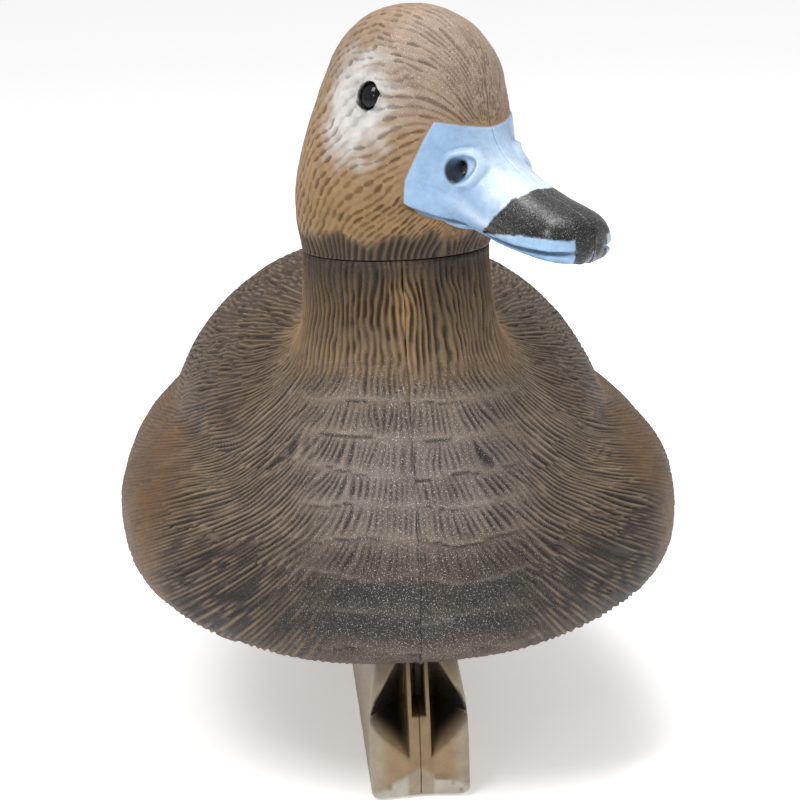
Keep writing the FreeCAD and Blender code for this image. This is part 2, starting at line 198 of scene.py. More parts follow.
def hull_field(x, y, z):
    flank = np.maximum(hull_flank(y), 0.05)
    wing = np.maximum(hull_wing(y), 0.05)
    middle = hull_middle(y)
    above = hull_back(y) - middle
    below = middle - hull_belly(y)
    rise = np.minimum(above * FLANK_RISE, FLANK_RISE_MOST) + 1
    up = z - middle
    reach = np.hypot(x, up) + 1e-9
    cos, sin = x / reach, up / reach
    side = superellipse(cos, sin, flank, rise, FLANK_POWER)
    dome = superellipse(cos, sin, wing, above, BACK_POWER)
    low = superellipse(cos, sin, flank, below, BELLY_POWER)
    radius = np.where(up < 0, low, soft_max(side, dome, CREASE))
    beyond = np.maximum(HULL_STATIONS[0][0] - y, y - HULL_STATIONS[-1][0])
    return np.maximum(reach - radius, beyond)


def neck_field(x, y, z):
    width, depth = neck_width(z), neck_depth(z)
    ratio = np.sqrt((x / width) ** 2 + ((y - neck_centre(z)) / depth) ** 2)
    return np.maximum((ratio - 1) * np.minimum(width, depth), NECK_RINGS[0][0] - z)


def body_field(x, y, z):
    field = soft_min(hull_field(x, y, z), neck_field(x, y, z), NECK_BLEND)
    return np.maximum(soft_max(field, BELLY_Z - z, 2.0), z - NECK_END)


# ---- the hull's mesh: columns run from the neck's rim over the body to the tail, rows round it ---

CORE = np.array((0.0, -60.0, 84.0))
STRETCH = np.array((90.0, 150.0, 62.0))
TAIL_TIP = (0, 222, 105)
ROW_POLE = (SWIVEL_Y, 189.0)
ROW_FIRST = 61.0
ROW_STEP = 10.3
FRONT_END = 146.0
RIM_ROW = 34.0
REAR_LENGTH = 190.0
HALF_GAP = 0.02              # of the parting line between the two halves
LIP_DEPTH = 1.6
RIM_INSET = 2.4


def unit(v):
    v = np.asarray(v, float)
    return v / np.linalg.norm(v)


TAIL_WAY = unit((np.array(TAIL_TIP) - CORE) / STRETCH)
NECK_WAY = unit((np.array((0, SWIVEL_Y, SWIVEL_Z)) - CORE) / STRETCH)
UP_WAY = np.array((0, -TAIL_WAY[2], TAIL_WAY[1]))
NECK_AT = NECK_WAY @ UP_WAY / (1 - NECK_WAY @ TAIL_WAY)


def cast(log_r, turn):
    """The body's surface along a column: turn is 0 over the breast and pi over the back."""
    r = np.exp(log_r)
    a = r * np.sin(turn)
    b = NECK_AT - r * np.cos(turn)
    size = a * a + b * b
    way = [2 * a, 2 * b * UP_WAY[1] + (size - 1) * TAIL_WAY[1],
           2 * b * UP_WAY[2] + (size - 1) * TAIL_WAY[2]]
    way = [w / (size + 1) * s for w, s in zip(way, STRETCH)]
    near = np.full_like(log_r, 0.15)
    far = np.full_like(log_r, 2.6)
    for _ in range(24):
        mid = (near + far) / 2
        out = body_field(*[c + mid * w for c, w in zip(CORE, way)]) > 0
        far = np.where(out, mid, far)
        near = np.where(out, near, mid)
    return np.stack([c + near * w for c, w in zip(CORE, way)], -1)


def row_of(points):
    """Row coordinate: distance from a pole over the neck."""
    return np.hypot(points[..., 0], np.hypot(points[..., 1] - ROW_POLE[0],
                                             points[..., 2] - ROW_POLE[1]))


def along(points):
    """Distance along each column of a grid of points, from its first row."""
    steps = np.linalg.norm(np.diff(points, axis=0), axis=-1)
    return np.concatenate([np.zeros((1, points.shape[1])), np.cumsum(steps, axis=0)])


def hull_grid():
    """Rows x columns of points of the left half, and their row coordinate."""
    turns = np.linspace(0.0, math.pi, 240)
    logs = np.linspace(math.log(0.08), math.log(160.0), 500)
    trial = cast(*np.meshgrid(logs, turns, indexing="ij"))
    across = np.linalg.norm(np.diff(trial[np.searchsorted(logs, 0.0)], axis=0), axis=-1)
    at = np.concatenate([[0], np.cumsum(across)])
    # columns: close together over the breast and the flank, wider apart over the back
    fine = 0.5
    spacing = np.interp(at, [0, 0.62 * at[-1], 0.8 * at[-1], at[-1]],
                        [fine, fine, 2 * fine, 2 * fine])
    count = np.concatenate([[0], np.cumsum(across / ((spacing[1:] + spacing[:-1]) / 2))])
    turns = np.interp(np.linspace(0, count[-1], int(count[-1])), count, turns)
    trial = cast(*np.meshgrid(logs, turns, indexing="ij"))
    length = along(trial)
    rows = row_of(trial)
    gain = np.maximum(np.diff(rows, axis=0), 0.3 * np.diff(length, axis=0))
    row_at = np.concatenate([0 * rows[:1], np.cumsum(gain, axis=0)])
    high, low = np.full_like(turns, logs[0]), np.zeros_like(turns) + 0.5
    for _ in range(24):
        mid = (high + low) / 2
        under = cast(mid, turns)[:, 2] < SWIVEL_Z
        low = np.where(under, mid, low)
        high = np.where(under, high, mid)
    rim_logs = low
    rim_rows = row_of(cast(rim_logs, turns))
    step = 0.85
    front_count = int((FRONT_END - RIM_ROW) / step)
    rear_count = int(REAR_LENGTH / (1.5))
    log_grid = np.zeros((front_count + rear_count, len(turns)))
    row_grid = np.zeros_like(log_grid)
    for j in range(len(turns)):
        column_rows = row_at[:, j] - np.interp(rim_logs[j], logs, row_at[:, j]) + rim_rows[j]
        front = np.linspace(rim_rows[j], FRONT_END, front_count)
        log_grid[:front_count, j] = np.interp(front, column_rows, logs)
        start = np.interp(FRONT_END, column_rows, length[:, j])
        rear = start + (length[-1, j] - start) * np.arange(1, rear_count + 1) / rear_count
        log_grid[front_count:, j] = np.interp(rear, length[:, j], logs)
        row_grid[:, j] = np.interp(log_grid[:, j], logs, column_rows)
    points = cast(log_grid, np.broadcast_to(turns, log_grid.shape))
    points[0, :, 2] = SWIVEL_Z
    points[:, 0, 0] = 0
    points[:, -1, 0] = 0
    return points, row_grid


def grid_normals(points):
    down = np.gradient(points, axis=0)
    side = np.gradient(points, axis=1)
    side[:, 0, 1:] = 0
    side[:, -1, 1:] = 0
    normal = np.cross(side, down)
    normal /= np.linalg.norm(normal, axis=-1, keepdims=True) + 1e-12
    outward = np.sum(normal * (points - CORE), axis=-1).mean()
    return normal if outward > 0 else -normal


def band_places(points, row_grid, k):
    """Arc length round the body, for each column, halfway down each point's feather row."""
    round_it = np.concatenate([np.zeros((points.shape[0], 1)), np.cumsum(
        np.linalg.norm(np.diff(points, axis=1), axis=-1), axis=1)], axis=1)
    middle = ROW_FIRST + (k + 0.5) * ROW_STEP
    centre_rows = row_grid[:, row_grid.shape[1] // 3]
    i = np.clip(np.searchsorted(centre_rows, middle), 0, points.shape[0] - 1)
    return np.take_along_axis(round_it, i, axis=0)


# ---- making meshes -----------------------------------------------------------------------------


def linear(rgb):
    """Linear colour of an sRGB one given from 0 to 255."""
    c = np.asarray(rgb, float) / 255
    return np.where(c <= 0.04045, c / 12.92, ((c + 0.055) / 1.055) ** 2.4)


def blend_colour(base, colour, amount):
    return base + (linear(colour) - base) * np.asarray(amount)[..., None]


def make_piece(name, points, faces, colour, values, body, nodes, material):
    """A smooth mesh with a paint colour and three values at each point, riding on a body."""
    mesh = bpy.data.meshes.new(name)
    faces = np.asarray(faces)
    mesh.vertices.add(len(points))
    mesh.vertices.foreach_set("co", (np.asarray(points) * MM).ravel())
    corners = faces.shape[1]
    mesh.loops.add(faces.size)
    mesh.loops.foreach_set("vertex_index", faces.ravel().astype(np.int32))
    mesh.polygons.add(len(faces))
    mesh.polygons.foreach_set("loop_start", np.arange(0, faces.size, corners, dtype=np.int32))
    mesh.update(calc_edges=True)
    mesh.validate()
    mesh.polygons.foreach_set("use_smooth", np.ones(len(mesh.polygons), bool))
    paint = mesh.attributes.new("paint", "FLOAT_COLOR", "POINT")
    paint.data.foreach_set("color", np.concatenate(
        [colour, np.ones((len(points), 1))], axis=1).astype(np.float32).ravel())
    glints_and_gloss = mesh.attributes.new("glints_and_gloss", "FLOAT_VECTOR", "POINT")
    glints_and_gloss.data.foreach_set("vector", np.asarray(values, np.float32).ravel())
    mesh.materials.append(material)
    piece = bpy.data.objects.new(name, mesh)
    bpy.context.collection.objects.link(piece)
    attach(piece, body)
    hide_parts(*nodes)
    return piece


# ---- materials ---------------------------------------------------------------------------------


def new_material(name):
    material = bpy.data.materials.new(name)
    material.use_nodes = True
    nodes = material.node_tree.nodes
    return material, nodes, material.node_tree.links, nodes["Principled BSDF"]


def noise_node(nodes, links, scale, detail, roughness, source=None):
    node = nodes.new("ShaderNodeTexNoise")
    node.inputs["Scale"].default_value = scale
    node.inputs["Detail"].default_value = detail
    node.inputs["Roughness"].default_value = roughness
    if source is None:
        source = nodes.new("ShaderNodeTexCoord").outputs["Object"]
    links.new(source, node.inputs["Vector"])
    return node.outputs["Fac"]


def ramp_node(nodes, links, source, low, high, out_low=0.0, out_high=1.0):
    node = nodes.new("ShaderNodeMapRange")
    node.inputs["From Min"].default_value = low
    node.inputs["From Max"].default_value = high
    node.inputs["To Min"].default_value = out_low
    node.inputs["To Max"].default_value = out_high
    links.new(source, node.inputs["Value"])
    return node.outputs["Result"]


def mix_node(nodes, links, kind, amount, a, b):
    """Mixes colour a with colour b, each a socket or a fixed colour."""
    node = nodes.new("ShaderNodeMix")
    node.data_type = "RGBA"
    node.blend_type = kind
    for socket, value in ((node.inputs[0], amount), (node.inputs[6], a), (node.inputs[7], b)):
        if isinstance(value, bpy.types.NodeSocket):
            links.new(value, socket)
        else:
            socket.default_value = value
    return node.outputs[2]


def grey_node(nodes, links, value):
    node = nodes.new("ShaderNodeCombineColor")
    for socket in node.inputs[:3]:
        links.new(value, socket)
    return node.outputs[0]


def add_grain(nodes, links, shader, strength, distance, scale):
    grain = nodes.new("ShaderNodeBump")
    grain.inputs["Strength"].default_value = strength
    grain.inputs["Distance"].default_value = distance
    links.new(noise_node(nodes, links, scale, 3, 0.6), grain.inputs["Height"])
    links.new(grain.outputs["Normal"], shader.inputs["Normal"])


def painted_plastic(name, roughness, painted_glints, bump):
    """Moulded plastic with sprayed paint: mottled, with fine pale specks that are painted glints.

    The paint attribute holds its colour. The attribute for glints and gloss holds the amount of
    painted glints in Y and gloss in Z.
    """
    material, nodes, links, shader = new_material(name)
    paint = nodes.new("ShaderNodeAttribute")
    paint.attribute_name = "paint"
    glints_and_gloss = nodes.new("ShaderNodeAttribute")
    glints_and_gloss.attribute_name = "glints_and_gloss"
    parts = nodes.new("ShaderNodeSeparateXYZ")
    links.new(glints_and_gloss.outputs["Vector"], parts.inputs[0])
    mottle = ramp_node(nodes, links, noise_node(nodes, links, 210, 3, 0.6), 0.3, 0.7, 0.86, 1.14)
    grey = grey_node(nodes, links, mottle)
    colour = mix_node(nodes, links, "MULTIPLY", 1.0, paint.outputs["Color"], grey)
    # painted glints: fine pale specks mixed into the colour where light would glint on the paint
    speck = ramp_node(nodes, links, noise_node(nodes, links, 3300, 1, 0.5), 0.62, 0.72, 0, painted_glints)
    amount = nodes.new("ShaderNodeMath")
    amount.operation = "MULTIPLY"
    links.new(speck, amount.inputs[0])
    links.new(parts.outputs["Y"], amount.inputs[1])
    colour = mix_node(nodes, links, "MIX", amount.outputs[0], colour, (0.75, 0.74, 0.72, 1))
    links.new(colour, shader.inputs["Base Color"])
    rough = ramp_node(nodes, links, noise_node(nodes, links, 900, 2, 0.5), 0.3, 0.7,
                      roughness - 0.08, roughness + 0.08)
    gloss = nodes.new("ShaderNodeMath")
    gloss.operation = "SUBTRACT"
    links.new(rough, gloss.inputs[0])
    links.new(parts.outputs["Z"], gloss.inputs[1])
    links.new(gloss.outputs[0], shader.inputs["Roughness"])
    shader.inputs["Specular IOR Level"].default_value = 0.35
    add_grain(nodes, links, shader, bump, 0.0004, 1500)
    return material


feathered = painted_plastic("feathered_plastic", 0.62, 0.62, 0.4)
head_paint = painted_plastic("head_plastic", 0.58, 0.35, 0.3)


def gap_in(lane):
    """0 in the middle of each lane, where its groove runs, and 1 at its sides."""
    return np.abs(lane - np.floor(lane) - 0.5) * 2


# ---- hull pieces -------------------------------------------------------------------------------


def feather_relief(points, row_grid, side):
    """Relief in millimetres and the paint of one half of the hull."""
    x, y, z = points[..., 0], points[..., 1], points[..., 2]
    seed = 11 if side > 0 else 37
    wander = noise(x / 16, y / 16, z / 16, seed) * 0.22 + noise(x / 5, y / 5, z / 5, seed + 1) * 0.06
    row = (row_grid - ROW_FIRST) / ROW_STEP + wander * (0.5 + 0.5 * fade(60, 20, np.abs(x)))
    row = row + (0.0 if side > 0 else 0.16)
    k = np.floor(row)
    down = row - k
    place = band_places(points, row_grid, k)
    # how much of each kind of surface
    neck = 1 - fade(-0.6, 0.9, row)
    centre = np.exp(-(x / 34) ** 2) * fade(-40, -95, y)
    wing = fade(1.0, 5.0, z - hull_middle(y) - FLANK_RISE_MOST * 0.93) * fade(-86, -62, y)
    wing = wing * fade(4, 12, np.hypot(x, y - neck_centre(z)) - 34)
    rim = fade(0, 1, (66 - z) / 12) * (1 - fade(-1, 1, (y - 60) / 60))
    band = fade(60, 76, np.abs(x)) * fade(-92, -70, y) * (1 - wing)
    # barbs: long narrow grooves that start again at each row
    spacing = 1.8 + 0.55 * (1 - centre) + 0.5 * wing
    sway = noise(place / 6, row_grid / 9, k * 3.1, seed + 2) * 0.9
    barb = place / spacing + sway + hashed(k, 0, 0, seed + 3) * 7
    number = np.floor(barb)
    gap = gap_in(barb)
    strength = 0.35 + 0.65 * hashed(number, k, 1, seed + 4)
    lens = np.clip(np.sin(np.pi * np.clip((down - 0.06) / 0.9, 0, 1)), 0, 1) ** 0.6
    barb_groove = np.maximum(0, 1 - gap / 0.72) ** 0.8 * strength * lens
    # away from the middle the barbs are longer than a row, and start and end at uneven places
    third = np.floor(row / 3 + 0.3 * noise(place / 9, row_grid / 30, 2, seed + 16))
    wide_place = band_places(points, row_grid, 3 * third + 1)
    lane = wide_place / 2.15 + noise(wide_place / 7, row_grid / 11, third * 2.3, seed + 17) * 0.9
    lane = lane + hashed(third, 5, 0, seed + 18) * 9
    lane_number = np.floor(lane)
    lane_gap = gap_in(lane)
    reach = row_grid / (15 + 8 * hashed(lane_number, third, 2, seed + 19))
    reach = reach + 7 * hashed(lane_number, third, 3, seed + 20)
    lane_lens = np.sin(np.pi * (reach - np.floor(reach))) ** 0.45
    lane_strength = 0.45 + 0.55 * hashed(lane_number, third, np.floor(reach), seed + 21)
    lane_groove = np.clip(1.5 - 1.5 * lane_gap / (0.85 * lane_lens + 1e-3), 0, 1) * lane_strength
    middle = fade(0.12, 0.6, centre)
    barb_groove = barb_groove * middle + lane_groove * (1 - middle)
    barb_depth = 0.62 * centre + 1.2 * (1 - centre)
    barb_depth = barb_depth * (1 - 0.72 * band) * (1 - 0.8 * wing) * (1 - neck)
    relief = -barb_groove * barb_depth
    # row edges: the row above ends in a low step with a broken dark line below it
    broken = fade(-0.05, 0.2, noise(place / 9, k * 5.7, 0, seed + 5))
    edge_open = (0.1 + 0.9 * broken) * (1 - neck) * (1 - 0.85 * wing) * (0.22 + 0.78 * middle)
    relief += edge_open * (0.12 * down ** 2 - 0.06)
    line = bump_at(down, 0.035, 0.042) * edge_open
    relief -= 0.5 * line * (0.5 + 0.5 * centre)
    # neck: deep wavy upright grooves
    angle = np.arctan2(x, -(y - neck_centre(z)))
    hair = angle * 30 / 2.1 + noise(angle * 4, z / 12, 0, seed + 6) * 0.7
    hair = hair + noise(angle * 9, z / 3.5, 3, seed + 7) * 0.24
    hair_number = np.floor(hair)
    hair_gap = gap_in(hair)
    broken_hair = 0.35 + 0.65 * fade(-0.35, 0.2, noise(hair_number * 1.7, z / 3.5, 0, seed + 8))
    hair_groove = np.maximum(0, 1 - hair_gap / 0.8) * broken_hair * neck
    relief -= hair_groove * 1.0
    # wings: a few long narrow grooves that follow the columns
    quill = place / 3.1 + noise(place / 20, row_grid / 30, 0, seed + 9) * 0.8
    quill_number = np.floor(quill)
    quill_gap = gap_in(quill)
    spell = row_grid / 15 + hashed(quill_number, 0, 0, seed + 10) * 5
    spell_down = spell - np.floor(spell)
    spell_on = hashed(quill_number, np.floor(spell), 0, seed + 11) > 0.2
    quill_lens = np.sin(np.pi * spell_down) ** 0.7 * spell_on
    quill_groove = np.maximum(0, 1 - quill_gap / (0.52 * quill_lens + 1e-3)) * wing * quill_lens
    relief -= quill_groove * 1.4
    # general unevenness of a moulded skin
    relief += 0.25 * noise(x / 12, y / 12, z / 12, seed + 12)
    relief += 0.07 * noise(x / 2.2, y / 2.2, z / 2.2, seed + 13)
    # parting line: a ridge low on the breast, and a groove everywhere else
    seam = bump_at(x, 0, 0.9)
    low_seam = fade(124, 112, z) * fade(-60, -90, y)
    relief += seam * (0.55 * low_seam - 0.5 * (1 - low_seam))
    relief *= fade(0, 3, SWIVEL_Z - z) * fade(0, 4, z - BELLY_Z) * 0.9 + 0.1

    # paint
    shape = points.shape[:2]
    paint = np.broadcast_to(linear((96, 80, 64)), shape + (3,)).copy()
    paint = blend_colour(paint, (112, 98, 85), centre * fade(144, 126, z))
    paint = blend_colour(paint, (108, 99, 93), centre * bump_at(z, 108, 15) * 0.9)
    # painted shade: the breast is painted darker low down at the front, where it is shaded
    paint = blend_colour(paint, (38, 31, 26), fade(98, 76, z) * fade(-60, -90, y))
    paint = blend_colour(paint, (94, 66, 34), band * 0.95 * (0.6 + 0.4 * fade(0, 12, z - 52)))
    paint = blend_colour(paint, (60, 43, 27), wing)
    paint = blend_colour(paint, (104, 82, 58), rim * 0.35)
    patch = fade(-0.1, 0.5, noise(x / 9, y / 9, z / 9, seed + 14))
    paint = blend_colour(paint, (70, 59, 49), patch * 0.35)
    ridge = fade(0.4, 1.0, down) * (1 - gap * 0.3) * (0.3 + 0.7 * middle)
    paint = blend_colour(paint, (150, 136, 120), ridge * 0.1 * (1 - neck) * (1 - wing))
    neck_gold = fade(0.1, 0.7, hair_gap) * (0.72 + 0.28 * noise(angle * 6, z / 6, 1, seed + 15))
    # painted shade under the head: near the neck's top the gold is weaker and the paint darker
    neck_gold = neck_gold * (0.5 + 0.5 * fade(SWIVEL_Z - 2, SWIVEL_Z - 16, z)) * neck
    shade_under_head = fade(SWIVEL_Z - 10, SWIVEL_Z - 2, z) * fade(SWIVEL_Y + 10, SWIVEL_Y - 10, y)
    paint = blend_colour(paint, (84, 64, 40), neck * 0.95)
    paint = blend_colour(paint, (178, 138, 84), np.clip(neck_gold, 0, 1) * 0.9)
    paint = blend_colour(paint, (118, 100, 79), fade(1.0, -0.4, row) * fade(-1.9, -0.6, row) * 0.5)
    paint = blend_colour(paint, (34, 26, 18), shade_under_head * 0.55)
    shade = fade(SWIVEL_Z - 44, SWIVEL_Z - 10, z) * fade(-60, -80, y) * fade(-8, 12, x)
    paint = blend_colour(paint, (34, 26, 18), shade * 0.72)
    # painted shade: the grooves, the lines under the row steps and the neck's grooves are painted
    # darker, where shade falls in them
    groove = np.clip(barb_groove * barb_depth / 0.55, 0, 1)
    groove = np.maximum(groove, line)
    groove = np.maximum(groove, quill_groove)
    paint = blend_colour(paint, (24, 18, 13), groove * 0.9)
    paint = blend_colour(paint, (18, 14, 11), hair_groove * 0.85)
    crest = fade(0.6, 1.0, lane_gap) * (1 - middle) * (1 - neck) * (1 - 0.85 * band)
    paint = blend_colour(paint, (160, 136, 108), crest * 0.42)
    # painted highlight: a faint pale lip along the lower edge of each row
    lip = bump_at(down, 0.965, 0.04) * edge_open * (0.4 + 0.6 * broken)
    paint = blend_colour(paint, (166, 152, 136), lip * 0.1)
    # painted glints: most over the middle of the breast, few on the neck
    painted_glints = (0.12 + 0.88 * centre) * (1 - 0.85 * neck)
    gloss = 0.05 * centre
    return relief, paint, np.stack([0 * x, painted_glints, gloss + 0 * x], -1)


def grid_faces(rows, columns, flip):
    i, j = np.meshgrid(np.arange(rows - 1), np.arange(columns - 1), indexing="ij")
    a = (i * columns + j).ravel()
    quads = np.stack([a, a + columns, a + columns + 1, a + 1], -1)
    return quads[:, ::-1] if flip else quads


def with_border(points, rim_inset):
    """Adds folded edges: a lip inside the neck's rim and a narrow lip along the parting plane."""
    top = points[:1].copy()
    axis = np.array((0, SWIVEL_Y, SWIVEL_Z))
    top = axis + (top - axis) * np.array((1 - rim_inset / COLLAR_R, 1 - rim_inset / COLLAR_R, 1))
    points = np.concatenate([top, points])
    first = points[:, :1].copy()
    last = points[:, -1:].copy()
    for edge in (first, last):
        inward = CORE * (0, 1, 1) - edge
        inward /= np.linalg.norm(inward, axis=-1, keepdims=True)
        edge += inward * LIP_DEPTH
        edge[..., 0] = HALF_GAP
    return np.concatenate([first, points, last], axis=1)


def pad_edges(values):
    values = np.concatenate([values[:1], values])
    return np.concatenate([values[:, :1], values, values[:, -1:]], axis=1)


def build_hull():
    points, row_grid = hull_grid()
    normals = grid_normals(points)
    for side, name in ((1, "body_left"), (-1, "body_right")):
        relief, paint, values = feather_relief(points, row_grid, side)
        moved = points + normals * relief[..., None]
        moved[0, :, 2] = SWIVEL_Z
        moved[:, 0, 0] = HALF_GAP
        moved[:, -1, 0] = HALF_GAP
        moved[..., 0] = np.maximum(moved[..., 0], HALF_GAP)
        moved = with_border(moved, RIM_INSET)
        moved[..., 0] *= side
        rows, columns = moved.shape[:2]
        faces = grid_faces(rows, columns, side < 0)
        make_piece(name, moved.reshape(-1, 3), faces, pad_edges(paint).reshape(-1, 3),
                   pad_edges(values).reshape(-1, 3), "hull",
                   [name + "_shell"], feathered)


# ---- surfaces from fields ----------------------------------------------------------------------


def spread(low, high, step):
    return np.linspace(low, high, max(2, int(round((high - low) / step)) + 1))


def field_slope(field, points, step=0.05):
    slopes = []
    for axis in range(3):
        ahead, behind = points.copy(), points.copy()
        ahead[:, axis] += step
        behind[:, axis] -= step
        slopes.append((field(*ahead.T) - field(*behind.T)) / (2 * step))
    return np.stack(slopes, -1)


def field_normals(field, points, step):
    slope = field_slope(field, points, step)
    return slope / (np.linalg.norm(slope, axis=-1, keepdims=True) + 1e-9)


def surface_net(field, axes):
    """Points and quads of the surface where a field is zero, on a box grid with uneven steps."""
    grid = np.meshgrid(*axes, indexing="ij")
    value = field(*grid)
    inside = value < 0
    nx, ny, nz = value.shape
    count = np.zeros((nx - 1, ny - 1, nz - 1), np.int8)
    corners = [(a, b, c) for a in (0, 1) for b in (0, 1) for c in (0, 1)]
    for a, b, c in corners:
        count += inside[a:nx - 1 + a, b:ny - 1 + b, c:nz - 1 + c]
    mixed = (count > 0) & (count < 8)
    cells = np.argwhere(mixed)
    number = np.full(mixed.shape, -1)
    number[mixed] = np.arange(len(cells))
    total = np.zeros((len(cells), 3))
    hits = np.zeros((len(cells), 1))
    for start in corners:
        for axis in range(3):
            if start[axis]:
                continue
            end = list(start)
            end[axis] = 1
            i = tuple((cells + start).T)
            j = tuple((cells + end).T)
            crossing = inside[i] != inside[j]
            t = np.clip(value[i] / (value[i] - value[j] + 1e-12), 0, 1)
            here = np.stack([axes[n][i[n]] for n in range(3)], -1)
            there = np.stack([axes[n][j[n]] for n in range(3)], -1)
            total[crossing] += (here + (there - here) * t[:, None])[crossing]
            hits[crossing] += 1
    points = total / np.maximum(hits, 1)
    quads = []
    for axis in range(3):
        u, v = (axis + 1) % 3, (axis + 2) % 3
        low = [slice(None)] * 3
        high = [slice(None)] * 3
        low[axis], high[axis] = slice(None, -1), slice(1, None)
        change = inside[tuple(low)] != inside[tuple(high)]
        edges = np.argwhere(change)
        edges = edges[(edges[:, u] > 0) & (edges[:, v] > 0)
                      & (edges[:, u] < value.shape[u] - 1) & (edges[:, v] < value.shape[v] - 1)]
        ring = []
        for du, dv in ((-1, -1), (0, -1), (0, 0), (-1, 0)):
            cell = edges.copy()
            cell[:, u] += du
            cell[:, v] += dv
            ring.append(number[tuple(cell.T)])
        quad = np.stack(ring, -1)
        flip = ~inside[tuple(edges.T)]
        quad[flip] = quad[flip][:, ::-1]
        quads.append(quad)
    for _ in range(2):
        slope = field_slope(field, points)
        size = np.sum(slope * slope, -1, keepdims=True) + 1e-9
        step = field(*points.T)[:, None] * slope / size
        points = points - np.clip(step, -0.5, 0.5)
    return points, np.concatenate(quads)


def keep_faces(points, quads, hidden):
    """Leaves out the faces whose corners are all hidden, and the points that nothing uses."""
    quads = quads[~hidden[quads].all(axis=1)]
    used = np.unique(quads)
    renumber = np.zeros(len(points), int)
    renumber[used] = np.arange(len(used))
    return points[used], renumber[quads], used


# ---- head --------------------------------------------------------------------------------------

ring_centre, ring_length, ring_width = [table(HEAD_RINGS, i) for i in range(1, 4)]
bill_width, bill_top, bill_bottom = [table(BILL_SECTIONS, i) for i in range(1, 4)]
PARTING = 0.04
FACE_BLEND = 6.0


def skull_field(f, s, u):
    length = np.maximum(ring_length(u), 0.05)
    width = np.maximum(ring_width(u), 0.05)
    ratio = np.hypot((f - ring_centre(u)) / length, s / width)
    return np.maximum((ratio - 1) * np.minimum(length, width), u - HEAD_RINGS[-1][0])


def bill_field(f, s, u):
    top, bottom = bill_top(f), bill_bottom(f)
    middle = bottom + (top - bottom) * 0.4
    half = np.maximum(np.where(u > middle, top - middle, middle - bottom), 0.05)
    width = np.maximum(bill_width(f), 0.05)
    up = (u - middle) / half
    across = s / width
    ratio = (np.abs(up) ** BILL_POWER + np.abs(across) ** BILL_POWER) ** (1 / BILL_POWER)
    field = (ratio - 1) * np.minimum(half, width)
    return np.maximum(field, np.maximum(BILL_SECTIONS[0][0] - f, f - BILL_SECTIONS[-1][0] + 0.5))


def bill_edge(f, s, u):
    """How far forward of the bill's painted edge a point is."""
    side = np.interp(u, (6, 12, 15, 18, 25, 35, 43.4), (36, 33, 28.5, 26.5, 27.5, 31.5, 34.8))
    top = 39.2 + 2.2 * np.clip(np.abs(s) / 14.5, 0, 1.2) ** 1.5
    return soft_min(f - side, top - u, 0.8)


def mouth_line(f):
    return np.interp(f, (24, 28, 33, 45, 60, 78), (19, 16, 12.8, 8.8, 6.4, 5.6))


def nostril_at(f, u, along_f, along_u):
    return np.sqrt((f - NOSTRIL[0]) ** 2 / along_f + (u - NOSTRIL[1]) ** 2 / along_u)


def curl_distance(f, u):
    return np.hypot(f - CURL[0], u - CURL[1])


def curl_share(f, u):
    """The curled ridge fades out toward the face."""
    return fade(-3.5, 2.0, f - 39.5 + (u - 28) * 0.3)


def socket_at(f, u):
    """1 on the edge of the eye's socket."""
    return np.sqrt(((f - EYE_PLACE[0]) / SOCKET[0]) ** 2 + ((u - EYE_PLACE[1]) / SOCKET[1]) ** 2)


def head_field(f, s, u):
    side = np.abs(s)
    field = soft_min(skull_field(f, s, u), bill_field(f, s, u), FACE_BLEND)
    # the painted part of the bill stands a little proud of the face
    ahead = bill_edge(f, s, u)
    field = field - 0.45 * fade(-0.4, 0.7, ahead)
    # mouth
    gape = np.hypot(np.maximum(26.5 - f, 0), u - mouth_line(f))
    field = field + 1.1 * np.exp(-(gape / 0.7) ** 2) * fade(4, 8, side)
    # nostril: a hole under a curled ridge
    hole = nostril_at(f, u, 3.6, 6.5)
    curl = np.exp(-((curl_distance(f, u) - 4.6) / 1.0) ** 2) * curl_share(f, u)
    near = fade(6, 9, side)
    field = field - 1.5 * curl * near
    field = field + 2.8 * np.exp(-hole ** 4) * near
    # eye socket with its lids
    socket = socket_at(f, u)
    lid = np.exp(-((socket - 1.12) / 0.16) ** 2) * fade(14, 18, side)
    field = field - 0.75 * lid
    well = fade(1.04, 0.9, socket) * fade(14, 18, side)
    field = field + 3.2 * well
    return field


def head_half(f, s, u):
    field = soft_max(head_field(f, s, u), PARTING - s, 0.5)
    return soft_max(field, HEAD_RINGS[0][0] - u, 0.4)


def to_world(points, side):
    """Points of the head, in its own frame, to the model's frame."""
    turn = math.radians(HEAD_TURN)
    f, s, u = points[:, 0], points[:, 1] * side, points[:, 2]
    x = f * math.sin(turn) + s * math.cos(turn)
    y = SWIVEL_Y - f * math.cos(turn) + s * math.sin(turn)
    return np.stack([x, y, SWIVEL_Z + u], -1)


